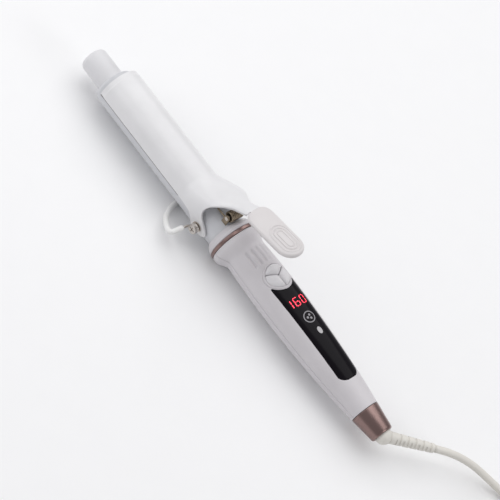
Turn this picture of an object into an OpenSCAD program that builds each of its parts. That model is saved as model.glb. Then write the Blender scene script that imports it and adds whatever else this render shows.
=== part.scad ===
// Curling iron with a spring clamp, a folding wire stand, a digital handle and a swivel cord.
// The iron lies level along X: its tip points to -X, its cord leaves at +X, its lever is up.
// The origin is on the table, under the middle of the iron. All sizes are in millimetres.

/* [Barrel] */
// Length of the cool tip in front of the barrel
tip_len = 25.3; // [18:0.1:32]
// Radius of the cool tip
tip_r = 10.3; // [8:0.1:12]
// Length of the barrel from its shoulder to the flange
barrel_len = 138.2; // [110:0.1:170]
// Outer radius of the barrel
barrel_r = 15; // [12:0.1:18]
// Wall of the barrel tube
barrel_wall = 1.6; // [1.2:0.1:2.4]
// Rounding of the barrel's shoulder
shoulder_r = 2.5; // [1:0.1:4]
// Thickness of the flat heating strip
heater_t = 4; // [3:0.1:6]
// Width of the flat heating strip
heater_w = 20; // [12:0.5:22]

/* [Clamp] */
// Bare barrel in front of the clamp
clamp_setback = 5; // [3:0.1:12]
// Length of the stepped lip at the clamp's front
lip_len = 3.5; // [2:0.1:8]
// Thickness of the clamp's metal plate
plate_t = 1; // [0.8:0.1:1.5]
// Half of the angle that the clamp wraps round the barrel
clamp_half_angle = 77; // [60:1:80]
// Height of the cover's crown above the barrel's axis
crown_h = 20.5; // [19:0.1:24]
// Distance from the flange forward to the clamp's pivot
pivot_setback = 14.5; // [13:0.1:20]
// Length over which the cover rises in front of the pivot
flare_len = 26; // [20:0.5:32]
// Length of the neck behind the pivot
neck_len = 20.5; // [18:0.5:26]
// Height that the lever gains from the crown to the pad
lever_rise = 22.7; // [18:0.1:26]
// Thickness of the moulded cover and lever
cover_t = 2.4; // [1.8:0.1:3]

/* [Thumb pad] */
// Length of the thumb pad
pad_len = 46.5; // [36:0.5:56]
// Width of the thumb pad
pad_w = 22; // [18:0.5:26]
// Thickness of the thumb pad at its middle
pad_t = 4.6; // [4:0.1:6]
// Slope of the thumb pad in degrees
pad_slope = 11; // [6:0.5:16]

/* [Pivot] */
// Radius of the pivot screws
screw_r = 1.5; // [1.2:0.1:2]
// Radius of the pivot screws' heads
screw_head_r = 3.7; // [3.2:0.1:4.5]
// Height of the pivot screws' heads
screw_head_h = 2.4; // [1.6:0.1:3]
// Running clearance on radius round the pivot screws
run_gap = 0.06; // [0.02:0.01:0.1]
// Side clearance between the stacked pieces on a pivot screw
side_gap = 0.1; // [0.05:0.01:0.2]
// Thickness of the clamp's ears at the pivot
ear_t = 1.6; // [1.2:0.1:2.2]
// Thickness of the washer under the stand's eye
washer_t = 0.5; // [0.4:0.1:0.8]

/* [Stand] */
// Distance from the pivot's axis to the stand's far end
stand_reach = 33; // [30:0.5:38]
// Radius of the stand's bow
stand_bow_r = 38; // [34:0.5:44]
// Half of the stand's width at its corners
stand_half_w = 36; // [32:0.5:40]
// Radius of the stand's silicone sleeve
sleeve_r = 2; // [1.6:0.1:2.4]
// Radius of the stand's wire
wire_r = 1.1; // [0.8:0.1:1.3]

/* [Handle] */
// Length of the flange that holds the barrel
flange_len = 5.8; // [4:0.1:8]
// Width of the metallic ring
ring_w = 2.8; // [2:0.1:4]
// Radius of the metallic ring
ring_r = 19.2; // [18.5:0.1:22]
// Length of the two handle shells
handle_len = 148.9; // [120:0.1:180]
// Largest radius of the handle
handle_r = 16.35; // [15:0.05:18]
// Wall of the handle shells
shell_wall = 2.2; // [1.8:0.1:2.6]
// Tilt of the handle's axis in degrees
handle_tilt = 0.57; // [0:0.01:1]
// Length of the metallic tail cap
cap_len = 20; // [14:0.5:26]
// Radius of the tail cap at its rear edge
cap_end_r = 8.3; // [7.9:0.1:9]

/* [Controls] */
// Distance from the collar to the middle of the buttons
button_back = 39.8; // [34:0.1:50]
// Outer radius of the bezel round the buttons
bezel_r = 10.5; // [9:0.1:11.5]
// Width of the bezel
bezel_w = 1.3; // [1:0.1:2]
// Gap between two buttons, and between a button and the bezel
button_gap = 0.4; // [0.2:0.05:0.8]
// Travel of a button
button_travel = 0.8; // [0.5:0.1:1.2]
// Length of the display panel behind the buttons
panel_len = 76.4; // [60:0.1:90]
// Half of the panel's width at the buttons
panel_half_w = 10.7; // [8:0.1:11]
// Depth of the display panel
panel_t = 1.4; // [1:0.1:1.8]

/* [Cord] */
// Radius of the cord
cord_r = 2.75; // [2:0.05:3.5]
// Radius of the swivel ball
ball_r = 6.2; // [5.5:0.1:7]
// Radius of the strain relief at the ball
relief_r = 4.6; // [4:0.1:5.5]
// Length of the plug's round pins
pin_len = 19; // [17:0.1:21]
// Radius of the plug's round pins
pin_r = 2; // [1.8:0.1:2.4]
// Distance between the plug's pins
pin_pitch = 18.6; // [17:0.1:20]

/* [Hidden] */
$fn = 64;
eps = 0.01;
fine = 96;

// stations along the iron, counted from the end of the tip
x_barrel = tip_len;
x_flange = x_barrel + barrel_len;
x_ring = x_flange + flange_len;
x_collar = x_ring + ring_w;
x_cap = x_collar + handle_len;
x_end = x_cap + cap_len;
x_pivot = x_flange - pivot_setback;
x_lip = x_barrel + clamp_setback;
x_cover = x_lip + lip_len;
x_flare = x_pivot - flare_len;
x_neck_end = x_pivot + neck_len;
x_button = x_collar + button_back;
x_panel_end = x_button + bezel_r + panel_len;

// the tip plugs into the barrel
spigot_r = tip_r - 2.3;
spigot_len = 8;
bore_r = barrel_r - barrel_wall;
barrel_tail = 6;

// the heater starts behind the tip's spigot and stops in front of the pivot's bosses
boss_r = 3;
x_heater = x_barrel + spigot_len + 6;
heater_len = x_pivot - boss_r - 2.5 - x_heater;
lead_y = 5;
lead_t = 1.8;

// the clamp's plate runs clear of the barrel, and the cover's crown has its own centre
plate_gap = 0.35;
plate_r = barrel_r + plate_gap + plate_t;
crown_r = barrel_r + 1.7;
crown_c = crown_h - crown_r;
side_clear = 0.45;
ear_drop = 5;

// pivot stack, counted outwards from the barrel's axis
y_boss = barrel_r + 0.9;
y_ear = y_boss + side_gap;
y_washer = y_ear + ear_t + side_gap;
y_eye = y_washer + washer_t;
eye_t = 1.8;
y_head = y_eye + eye_t + 2 * side_gap;
ear_r = 4.3;

// the stand folds forward until its sleeve is just clear of the barrel
rest_gap = 0.2;
fold_drop = barrel_r + rest_gap + sleeve_r;
fold_angle = acos(fold_drop / stand_reach);
bow_c = stand_reach - stand_bow_r;
corner_s = bow_c + sqrt(pow(stand_bow_r, 2) - pow(stand_half_w, 2));
arm_s = screw_head_r + wire_r + 0.4;
bare_len = 6;

// height of the iron's axis: the metallic ring and the stand's sleeve stand on the table
axis_z = max(ring_r, fold_drop + sleeve_r);

// handle
collar_r = ring_r - 0.2;
collar_len = 4;
collar_taper = 7;
widest = 54;
taper_ref = 95;
taper_drop = 5.6;
cap_wall = 0.9;
cap_bore_r = cap_end_r - 0.7;
spigot_in = 6;
tail_wall = 4;

// controls
bezel_in_r = bezel_r - bezel_w;
petal_r = bezel_in_r - button_gap;
button_proud = 1.2;
panel_proud = 0.25;
panel_gap = 0.6;
panel_end_r = 7;
panel_step = 5.6;
panel_end_half_w = panel_half_w - 1.9;
board_z = 4.5;
board_t = 1.6;
board_w = 20;
x_board = x_collar + 24;
board_len = 96;
switch_h = 3;
stem_bottom = board_z + board_t + switch_h + button_travel + 0.1;

// cord: straight out of the strain relief, down to the table and on to the coil
relief_end = [198, 27.5];
relief_end_r = 3.5;
route = [
    [198, 27.5, 19.2], [206, 35.5, 18.8], [214.5, 43, 17], [224, 50, 13.5], [234, 56, 9],
    [245, 61, 5.4], [257, 65, 3.4], [270, 68, 3.1], [283, 69.4, 3.4], [295, 69.6, 3.6]
];
plug_route = [
    [320.9, 7.1, 14.8], [311.5, -3, 13.2], [302, -10.7, 10.6], [294, -15.1, 8.2], [285.7, -17.4, 7]
];
coil_pos = [295, 33];
coil_r = 31;
coil_z = 0.8;
turn_pitch = 5.6;
coil_half = turn_pitch + cord_r;
tie_t = 0.8;
tie_angle = 14;
plug_pos = [274, -20];
plug_turn = 10;
plug_len = 36;
plug_w = 35.3;
plug_h = 13.7;
cord_sides = 10;

// ---- helpers -------------------------------------------------------------

// moves what is drawn along the iron's own axis to its place above the table
module on_iron() {
    translate([-x_end / 2, 0, axis_z]) children();
}

// turns a profile of [radius, station] points about the iron's axis
module turned(points, sides = fine) {
    rotate([0, 90, 0]) rotate_extrude($fn = sides) polygon(points);
}

// a tube or rod along the iron's axis
module sleeve(from, to, outer, inner = 0) {
    turned([[inner, from], [outer, from], [outer, to], [inner, to]]);
}

// an outline in Y and Z carried along X
module along_x(from, to) {
    translate([from, 0, 0]) rotate([90, 0, 90]) linear_extrude(to - from) children();
}

// an outline in X and Z carried across Y
module across_y(width) {
    translate([0, width / 2, 0]) rotate([90, 0, 0]) linear_extrude(width) children();
}

// a rod across Y between two distances from the middle
module rod_y(from, to, r) {
    translate([0, from, 0]) rotate([-90, 0, 0]) cylinder(h = to - from, r = r);
}

// the same thing on both sides of the iron
module both_sides() {
    children();
    mirror([0, 1, 0]) children();
}

// points of a cubic curve through four handles
function bezier(a, b, c, d, n) = [for (i = [0:n]) let (t = i / n, s = 1 - t)
    s * s * s * a + 3 * s * s * t * b + 3 * s * t * t * c + t * t * t * d];

// points of a quarter turn from one angle to another
function arc(c, r, from, to, n) = [for (i = [0:n]) let (a = from + (to - from) * i / n)
    [c[0] + r * cos(a), c[1] + r * sin(a)]];

// a closed skin over rings with the same even number of points, its ends closed in strips
function strip(n, start, turn) = [for (j = [0:n / 2 - 2])
    let (quad = [start + j, start + j + 1, start + n - 2 - j, start + n - 1 - j])
    each turn ? [[quad[0], quad[2], quad[1]], [quad[0], quad[3], quad[2]]]
              : [[quad[0], quad[1], quad[2]], [quad[0], quad[2], quad[3]]]];
module skin(rings) {
    n = len(rings[0]);
    m = len(rings);
    sides = [for (i = [0:m - 2], j = [0:n - 1]) let (k = (j + 1) % n)
        each [[i * n + j, i * n + k, (i + 1) * n + j], [i * n + k, (i + 1) * n + k, (i + 1) * n + j]]];
    ends = concat(strip(n, 0, true), strip(n, (m - 1) * n, false));
    polyhedron([for (ring = rings) each ring], concat(sides, ends), convexity = 6);
}

// a round tube that follows a route of points
function unit(v) = v / norm(v);
function heading(path, i) = unit(path[min(i + 1, len(path) - 1)] - path[max(i - 1, 0)]);
function ring_at(path, i, r, n) = let (
        t = heading(path, i),
        side = unit(cross([0, 0, 1], t)),
        up = cross(t, side))
    [for (j = [0:n - 1]) path[i] + r * cos(-360 * j / n) * side + r * sin(-360 * j / n) * up];
module swept(path, r, n) {
    skin([for (i = [0:len(path) - 1]) ring_at(path, i, r, n)]);
}

// ---- barrel --------------------------------------------------------------

module barrel() color("whitesmoke") on_iron() difference() {
    turned(concat(
        [[spigot_r, x_barrel], [barrel_r - shoulder_r, x_barrel]],
        [for (p = arc([barrel_r - shoulder_r, x_barrel + shoulder_r], shoulder_r, -90, 0, 8)) p],
        [[barrel_r, x_collar + barrel_tail], [bore_r, x_collar + barrel_tail],
         [bore_r, x_barrel + barrel_wall + 1], [spigot_r, x_barrel + barrel_wall + 1]]));
    translate([x_pivot, 0, 0]) rod_y(-y_boss, y_boss, boss_r);
}

module barrel_tip() color("ghostwhite") on_iron() turned(concat(
    [[0, 0]],
    arc([tip_r - 4.5, 4.5], 4.5, -90, 0, 10),
    [[tip_r, x_barrel], [spigot_r, x_barrel], [spigot_r, x_barrel + spigot_len],
     [0, x_barrel + spigot_len]]));

// two aluminium half rounds that carry the strip's heat to the barrel
module heat_spreaders() color("silver") on_iron() difference() {
    sleeve(x_heater, x_heater + heater_len, bore_r);
    translate([x_heater - 1, -barrel_r, -heater_t / 2]) cube([heater_len + 2, 2 * barrel_r, heater_t]);
    sleeve(x_heater - 1, x_heater + heater_len + 1, heater_t + 1.5);
}

module heater_strip() color("goldenrod") on_iron()
    translate([x_heater, -heater_w / 2, -heater_t / 2]) cube([heater_len, heater_w, heater_t]);

module thermistor() color("saddlebrown") on_iron()
    translate([x_heater + heater_len / 2, 0, heater_t / 2]) cylinder(h = 2.4, r = 1.8);

// ---- pivot ---------------------------------------------------------------

module pivot_bosses() color("silver") on_iron() translate([x_pivot, 0, 0]) both_sides() difference() {
    rod_y(bore_r - 1, y_boss, boss_r);
    rod_y(bore_r - 2, y_boss + 1, screw_r);
}

module pivot_screws() color("lightgray") on_iron() translate([x_pivot, 0, 0]) both_sides() difference() {
    union() {
        rod_y(bore_r - 1, y_head + eps, screw_r);
        rod_y(y_head, y_head + screw_head_h, screw_head_r);
    }
    translate([0, y_head + screw_head_h - 1, 0]) for (a = [0, 90]) rotate([0, a, 0])
        translate([-2.2, 0, -0.4]) cube([4.4, 2, 0.8]);
}

module pivot_washers() color("darkgray") on_iron() translate([x_pivot, 0, 0]) both_sides() difference() {
    rod_y(y_washer, y_washer + washer_t, ear_r - 0.2);
    rod_y(y_washer - 1, y_washer + washer_t + 1, screw_r);
}

// ---- clamp spring --------------------------------------------------------

spring_x = x_pivot + 10.5;
coil_out_r = 4.1;
spring_wire_r = 0.7;
spring_z = barrel_r + coil_out_r + 0.3;
cheek_y = 6.3;
cheek_t = 1;
cheek_r = 2.3;
spin_r = 1.5;

module spring_cheeks() color("darkgoldenrod") on_iron() both_sides() difference() {
    translate([spring_x, cheek_y, 0]) rotate([-90, 0, 0]) linear_extrude(cheek_t) union() {
        translate([0, -spring_z]) circle(cheek_r);
        translate([-cheek_r, -spring_z]) square([2 * cheek_r, spring_z - 12]);
    }
    sleeve(spring_x - 10, spring_x + 10, barrel_r);
    translate([spring_x, 0, spring_z]) rod_y(0, 20, spin_r);
}

module spring_pin() color("dimgray") on_iron() translate([spring_x, 0, spring_z])
    rod_y(-cheek_y - cheek_t - 0.4, cheek_y + cheek_t + 0.4, spin_r);

// coil across the iron, one leg along the barrel and one under the lever
module clamp_spring() color("darkgoldenrod") on_iron() {
    turns = 7;
    pitch = 2 * spring_wire_r + 0.05;
    mean_r = coil_out_r - spring_wire_r;
    translate([spring_x, 0, spring_z]) rotate([90, 0, 0]) for (i = [0:turns - 1])
        translate([0, 0, (i - (turns - 1) / 2) * pitch])
            rotate_extrude($fn = 32) translate([mean_r, 0]) circle(spring_wire_r + 0.03, $fn = 16);
    for (side = [-1, 1]) {
        y = side * (turns - 1) / 2 * pitch;
        translate([spring_x - 12, y, spring_z - mean_r]) rotate([0, 90, 0])
            cylinder(h = 12, r = spring_wire_r, $fn = 24);
    }
}

// ---- clamp ---------------------------------------------------------------

// height of the lever's top at a distance behind the pivot
function lever_z(x) = crown_h + lever_rise * pow((x + flare_len) / (neck_len + flare_len + 2.5), 1.5);

// the region that the clamp may fill on each side of its crown
plate_show_angle = 4.5;
module wrap(a = clamp_half_angle, reach = 60) polygon([
    [0, 0], [reach * sin(a), reach * cos(a)], [reach * sin(a), reach], [-reach * sin(a), reach],
    [-reach * sin(a), reach * cos(a)]]);

module clamp_plate() color("white") on_iron() {
    along_x(x_lip, x_flare) intersection() {
        difference() {
            circle(plate_r, $fn = fine);
            circle(barrel_r + plate_gap, $fn = fine);
        }
        wrap(clamp_half_angle + plate_show_angle);
    }
    along_x(x_lip, x_cover) intersection() {
        difference() {
            translate([0, crown_c]) circle(crown_r - 0.5, $fn = fine);
            circle(plate_r - 0.2, $fn = fine);
        }
        wrap();
    }
}

// one thick arch of the flare: up one side, over the top and back inside. It is round at the
// cover and grows boxy behind it, and above the ears it narrows towards the neck
neck_half_w = 9;
function ease(t) = let (u = max(0, min(1, t))) u * u * (3 - 2 * u);
function bowed(c, e) = sign(c) * pow(abs(c), 2 / e);
function crowded(u, e) = let (p = 0.8 * e - 0.6) u < 1 ? 90 * pow(u, p) : 180 - 90 * pow(2 - u, p);
function arch(x) = let (
        rel = x - x_pivot,
        ear_a = crown_r + (y_ear + ear_t - crown_r) * ease((rel + flare_len) / 20),
        top_a = ear_a - (ear_a - neck_half_w) * ease(rel / 15),
        e = 2 + 2.5 * ease((rel + flare_len) / 28),
        top = lever_z(rel),
        wall = ear_a - barrel_r - side_clear,
        n = 16)
    concat(
        [[x, ear_a, -ear_drop - 1]],
        [for (i = [0:n]) let (
            t = crowded(2 * i / n, e),
            z = crown_c + (top - crown_c) * bowed(sin(t), e),
            a = top_a + (ear_a - top_a) * (1 - ease(z / 20)))
            [x, a * bowed(cos(t), e), z]],
        [[x, -ear_a, -ear_drop - 1], [x, wall - ear_a, -ear_drop - 1]],
        [for (i = [n:-1:0]) let (
            t = crowded(2 * i / n, e),
            z = (top - cover_t) * bowed(sin(t), e),
            a = top_a + (ear_a - top_a) * (1 - ease(z / 20)) - wall)
            [x, a * bowed(cos(t), e), z]],
        [[x, ear_a - wall, -ear_drop - 1]]);

// side view of the flare, about the pivot: lower edge, ear, arched cut-out and neck
function flare_side() = let (low = plate_r * cos(clamp_half_angle)) concat(
    [[-flare_len, low], [-flare_len + 12, low]],
    bezier([-flare_len + 12, low], [-8, low], [-7.5, -ear_drop], [-1, -ear_drop], 8),
    bezier([-1, -ear_drop], [4, -ear_drop], [8.6, -4], [8.6, -0.6], 6),
    bezier([8.6, -0.6], [8.6, 3.6], [-3.2, 8], [-3.2, 16.2], 10),
    bezier([-3.2, 16.2], [-3.2, 24], [2.5, 30], [neck_len - 8, lever_z(neck_len - 8) - 2.2], 10),
    [[neck_len, lever_z(neck_len) - 2.2], [neck_len, 60], [-flare_len, 60]]);

module clamp_cover() color("white") on_iron() along_x(x_cover, x_flare) intersection() {
    difference() {
        translate([0, crown_c]) circle(crown_r, $fn = fine);
        circle(plate_r, $fn = fine);
    }
    wrap();
}

// the rear of the cover: flare, ears and neck
module clamp_lever() color("white") on_iron() difference() {
    intersection() {
        skin([for (i = [0:9]) arch(x_flare + (x_neck_end - x_flare) * i / 9)]);
        translate([x_pivot, 0, 0]) across_y(60) polygon(flare_side());
    }
    translate([x_pivot, 0, 0]) both_sides() {
        rod_y(barrel_r - 2, y_ear, ear_r + 0.4);
        rod_y(barrel_r - 2, y_ear + ear_t + 1, screw_r + run_gap);
    }
}

// the pad's own frame: its front edge, at the middle of its thickness
module at_pad() {
    translate([x_neck_end, 0, lever_z(neck_len) - cover_t / 2 + 0.6]) rotate([0, -pad_slope, 0]) children();
}

// flat steel tang behind the neck that the pad is pushed on to
tang_w = 8;
tang_t = 1.6;
tang_len = 20;
module behind_neck() intersection() {
    children();
    translate([x_neck_end, -20, 0]) cube([80, 40, 90]);
}
module lever_tang() color("silver") on_iron() behind_neck()
    at_pad() translate([-4, -tang_w / 2, -tang_t / 2]) cube([tang_len + 4, tang_w, tang_t]);

module pad_outline() {
    corner = 5.5;
    end_r = pad_w / 2 - 0.4;
    translate([pad_len - end_r, 0]) circle(end_r);
    for (side = [-1, 1]) translate([corner - 1, side * (pad_w / 2 - corner)]) circle(corner);
    translate([-1, -pad_w / 2 + corner]) square([10, pad_w - 2 * corner]);
    polygon([[corner - 1, -pad_w / 2], [pad_len - end_r, -end_r], [pad_len - end_r, end_r],
             [corner - 1, pad_w / 2]]);
}

module thumb_pad() color("snow") on_iron() behind_neck() at_pad() difference() {
    intersection() {
        translate([0, 0, -pad_t / 2]) linear_extrude(pad_t) pad_outline();
        translate([-10, 0, pad_t / 2 - 30]) rotate([0, 90, 0]) cylinder(h = 80, r = 30, $fn = 128);
    }
    translate([-8, -tang_w / 2, -tang_t / 2]) cube([tang_len + 8, tang_w, tang_t]);
}

// ---- stand ---------------------------------------------------------------

// the stand's own plane: its first axis runs away from the pivot, its second across the iron
module at_stand() {
    translate([x_pivot, 0, 0]) rotate([0, 90 + fold_angle, 0]) children();
}
module stick(a, b, r) {
    v = b - a;
    translate(a) rotate([0, acos(v[2] / norm(v)), atan2(v[1], v[0])]) cylinder(h = norm(v), r = r, $fn = 32);
}
eye_y = y_eye + side_gap + eye_t / 2;
arm_start = [arm_s, eye_y, 0];
corner = [corner_s, stand_half_w, 0];
sleeve_start = arm_start + unit(corner - arm_start) * bare_len;

// centre line of the stand's sleeve, from one sleeve end round the bow to the other
bow_half = asin(stand_half_w / stand_bow_r);
function mirrored(path) = [for (i = [len(path) - 1:-1:0]) [path[i][0], -path[i][1], path[i][2]]];
bow_side = concat(
    [sleeve_start, corner - 2.5 * unit(corner - sleeve_start), corner + [0.9, -0.4, 0]],
    [for (i = [1:8]) let (a = bow_half * (1 - i / 8) * 0.94)
        [bow_c + stand_bow_r * cos(a), stand_bow_r * sin(a), 0]]);
bow_path = concat(bow_side, [for (i = [1:len(bow_side) - 1]) mirrored(bow_side)[i]]);

module stand_wire() color("silver") on_iron() at_stand() both_sides() {
    difference() {
        rod_y(y_eye + side_gap, y_eye + side_gap + eye_t, screw_head_r - 0.3);
        rod_y(y_eye - 1, y_head, screw_r + run_gap);
    }
    difference() {
        swept([[screw_r + 1.2, eye_y, 0], arm_start - [0.5, 0, 0], arm_start + unit(corner - arm_start),
               sleeve_start], 0.9, 8);
        rod_y(y_eye, y_head, screw_head_r - 0.3);
    }
}

module stand_sleeve() color("floralwhite") on_iron() at_stand() swept(bow_path, sleeve_r, 12);

// ---- handle --------------------------------------------------------------

module barrel_flange() color("ghostwhite") on_iron() turned([
    [barrel_r, x_flange], [barrel_r + 1.4, x_flange], [ring_r - 0.8, x_ring - 2.6],
    [ring_r - 0.6, x_ring], [barrel_r, x_ring]]);

module trim_ring() color("rosybrown") on_iron() turned([
    [barrel_r, x_ring], [ring_r - 0.3, x_ring], [ring_r, x_ring + 0.3],
    [ring_r, x_collar - 0.3], [ring_r - 0.3, x_collar], [barrel_r, x_collar]]);

// radius of the handle at a station, a flat parabola about its widest place
function handle_at(x) = handle_r - taper_drop * pow((x - x_collar - widest) / taper_ref, 2);

// the handle's outer form, grown or shrunk by a distance
module handle_form(grow, from, to) {
    steps = 14;
    translate([x_cap, 0, 0]) rotate([0, handle_tilt, 0]) translate([-x_cap, 0, 0])
        turned(concat([[0, from]],
            [for (i = [0:steps]) let (x = from + (to - from) * i / steps) [handle_at(x) + grow, x]],
            [[0, to]]));
}

module handle_blank() {
    difference() {
        union() {
            turned([[0, x_collar], [collar_r, x_collar], [collar_r, x_collar + collar_len],
                    [handle_at(x_collar + 11) - 1, x_collar + collar_len + collar_taper],
                    [0, x_collar + collar_len + collar_taper]]);
            intersection() {
                handle_form(0, x_collar + collar_len, x_cap + 1);
                sleeve(x_collar + collar_len, x_cap, 30);
            }
        }
        sleeve(x_collar - 1, x_collar + barrel_tail, barrel_r);
        sleeve(x_collar + barrel_tail - eps, x_collar + barrel_tail + 5, barrel_r - 1);
        handle_form(-shell_wall, x_collar + barrel_tail + 3, x_cap - tail_wall);
        sleeve(x_cap - tail_wall - 1, x_cap + 1, cap_bore_r + cap_wall);
    }
}

screw_x = [x_collar + 18, x_cap - 12];
post_r = 2.8;
screw_shank_r = 1.1;
screw_cap_r = 2.1;

module half(side) {
    intersection() {
        children();
        translate([0, -40, side > 0 ? 0 : -40]) cube([x_end + 50, 80, 40]);
    }
}

// posts that the shell screws draw together
module posts(side) {
    for (x = screw_x) half(side) intersection() {
        translate([x, 0, -30]) cylinder(h = 60, r = post_r);
        handle_form(-shell_wall / 2, x_collar + barrel_tail, x_cap - 1);
    }
}

module panel_outline() {
    x0 = x_button + panel_step;
    x1 = x_panel_end - panel_end_r;
    difference() {
        union() {
            polygon([[x0, -panel_half_w], [x1, -panel_end_half_w], [x1 + panel_end_r, -1.2],
                     [x1 + panel_end_r, 1.2], [x1, panel_end_half_w], [x0, panel_half_w]]);
            for (side = [-1, 1])
                translate([x1, side * (panel_end_half_w - panel_end_r)]) circle(panel_end_r);
        }
        translate([x_button, 0]) circle(bezel_r + panel_gap);
    }
}

module handle_upper_shell() color("ghostwhite") on_iron() difference() {
    union() {
        half(1) handle_blank();
        posts(1);
    }
    for (x = screw_x) translate([x, 0, -1]) cylinder(h = 9, r = screw_shank_r);
    translate([x_button, 0, 0]) cylinder(h = 40, r = bezel_r);
    difference() {
        linear_extrude(40) panel_outline();
        handle_form(panel_proud - panel_t, x_collar + 20, x_cap - 4);
    }
    translate([x_button + bezel_r + 3, -7, 0]) cube([16, 14, 40]);
    for (a = [-34, -17, 0, 17, 34]) rotate([a, 0, 0])
        translate([x_collar + 14.4, -0.5, handle_r - 0.6]) cube([12.8, 1, 4]);
}

module handle_lower_shell() color("ghostwhite") on_iron() difference() {
    union() {
        half(-1) handle_blank();
        posts(-1);
    }
    for (x = screw_x) translate([x, 0, -40]) {
        cylinder(h = 41, r = screw_shank_r);
        cylinder(h = 40 - 7, r = screw_cap_r);
    }
}

module shell_screws() color("darkgray") on_iron() for (x = screw_x) translate([x, 0, -7]) difference() {
    union() {
        cylinder(h = 15, r = screw_shank_r);
        translate([0, 0, -1.6]) cylinder(h = 1.6, r = screw_cap_r);
    }
    for (a = [0, 90]) rotate([0, 0, a]) translate([-1.3, -0.25, -2]) cube([2.6, 0.5, 1]);
}

// ceramic ring that keeps the barrel's tail from the handle's inside
module insulator_ring() color("wheat") on_iron() difference() {
    sleeve(x_collar + 1, x_collar + barrel_tail, bore_r, 0);
    sleeve(x_collar, x_collar + barrel_tail + 1, lead_y + lead_t);
}

// ---- controls ------------------------------------------------------------

module circuit_board() color("seagreen") on_iron()
    translate([x_board, 0, board_z]) linear_extrude(board_t) polygon([
        [0, -board_w / 2], [board_len - 22, -board_w / 2], [board_len, 2 - board_w / 2],
        [board_len, board_w / 2 - 2], [board_len - 22, board_w / 2], [0, board_w / 2]]);

module board_components() color("dimgray") on_iron() translate([x_board, 0, board_z]) {
    translate([8, -7, -9]) cube([16, 14, 9]);
    translate([30, 0, -10]) cylinder(h = 10, r = 4.5);
    translate([42, -6, -5]) cube([10, 12, 5]);
    translate([60, -4, -4]) cube([14, 8, 4]);
    translate([80, 0, -8]) cylinder(h = 8, r = 3.2);
}

module display_module() color("black") on_iron()
    translate([x_button + bezel_r + 4, -6.5, board_z + board_t])
        cube([14, 13, handle_r - panel_t - board_z - board_t - 1.2]);

module each_petal() for (a = [180, 60, -60]) rotate([0, 0, a]) children();

module tact_switches() color("black") on_iron() translate([x_button, 0, board_z + board_t])
    each_petal() {
        translate([2.2, -2, 0]) cube([5, 4, switch_h - 1]);
        translate([4.7, 0, 0]) cylinder(h = switch_h, r = 1.2);
    }

module heater_leads() color("firebrick") on_iron() for (side = [-1, 1]) translate([0, side * lead_y, 0]) {
    translate([x_heater + heater_len, -lead_t / 2, -lead_t / 2])
        cube([x_board - x_heater - heater_len + 4, lead_t, lead_t]);
    translate([x_board + 4 - lead_t, -lead_t / 2, lead_t / 2]) cube([lead_t, lead_t, board_z - lead_t / 2]);
}

module display_panel() color("black") on_iron() intersection() {
    linear_extrude(40) panel_outline();
    difference() {
        handle_form(panel_proud, x_collar + 20, x_cap - 4);
        handle_form(panel_proud - panel_t, x_collar + 19, x_cap - 3);
    }
}

module button_bezel() color("ghostwhite") on_iron() intersection() {
    translate([x_button, 0, 0]) difference() {
        translate([0, 0, board_z + board_t + switch_h]) cylinder(h = 20, r = bezel_r);
        cylinder(h = 40, r = bezel_in_r);
    }
    handle_form(0.35, x_collar + 20, x_cap - 4);
}

// one third of the button disc, with its crown on the handle's curve
module petal(a) color("snow") on_iron() intersection() {
    translate([x_button, 0, 0]) rotate([0, 0, a]) union() {
        translate([0, 0, stem_bottom + 2]) linear_extrude(20) intersection() {
            circle(petal_r);
            translate([button_gap / 2 / sin(60), 0])
                polygon([[0, 0], [20, -20 * tan(60)], [40, 0], [20, 20 * tan(60)]]);
        }
        translate([4.7, 0, stem_bottom]) cylinder(h = 4, r = 1.6);
    }
    handle_form(button_proud, x_collar + 20, x_cap - 4);
}
module button_power() petal(180);
module button_plus() petal(-60);
module button_minus() petal(60);

// ---- tail and cord -------------------------------------------------------

module tail_cap() color("rosybrown") on_iron() turned([
    [cap_bore_r, x_cap - spigot_in], [cap_bore_r + cap_wall, x_cap - spigot_in],
    [cap_bore_r + cap_wall, x_cap], [handle_at(x_cap), x_cap], [cap_end_r + 0.1, x_end - 1.2],
    [cap_end_r - 0.8, x_end], [ball_r + 0.15, x_end], [ball_r + 0.15, x_end - 2.5],
    [cap_bore_r, x_end - 2.5]]);

x_ball = x_end + 1;
stem_r = 3;
bush_from = x_ball - ball_r - 3.6;
bush_to = x_ball - ball_r - 0.3;

module swivel_bush() color("lightgray") on_iron() sleeve(bush_from, bush_to, cap_bore_r, stem_r + run_gap);

module swivel_ball() color("ivory") on_iron() {
    translate([x_ball, 0, 0]) rotate([0, 90, 0]) sphere(ball_r, $fn = 64);
    sleeve(bush_from - 2.2, x_ball, stem_r);
    sleeve(bush_from - 2.2, bush_from - 0.1, stem_r + 2);
}

relief_vec = relief_end - [x_ball - x_end / 2, 0];
relief_turn = atan2(relief_vec[1], relief_vec[0]);

module strain_relief() color("ivory") difference() {
    translate([x_ball - x_end / 2, 0, axis_z]) rotate([0, 0, relief_turn]) rotate([0, 90, 0])
        cylinder(h = norm(relief_vec), r1 = relief_r, r2 = relief_end_r);
    translate([x_ball - x_end / 2, 0, axis_z]) sphere(ball_r, $fn = 64);
}

module cord_tube() color("ivory") swept(route, cord_r, cord_sides);
module plug_lead() color("ivory") swept(plug_route, cord_r, cord_sides);

module cord_coil() color("ivory") translate([coil_pos[0], coil_pos[1], coil_z])
    rotate_extrude($fn = 128) translate([coil_r - coil_half, 0]) square([2 * coil_half, 2 * coil_half]);

module cord_tie() color("gray") translate([coil_pos[0], coil_pos[1], 0]) rotate([0, 0, 200])
    rotate_extrude(angle = tie_angle, $fn = 128) difference() {
        translate([coil_r - coil_half - tie_t, 0])
            square([2 * (coil_half + tie_t), 2 * coil_half + coil_z + tie_t]);
        translate([coil_r - coil_half, coil_z]) square([2 * coil_half, 2 * coil_half]);
    }

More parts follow.
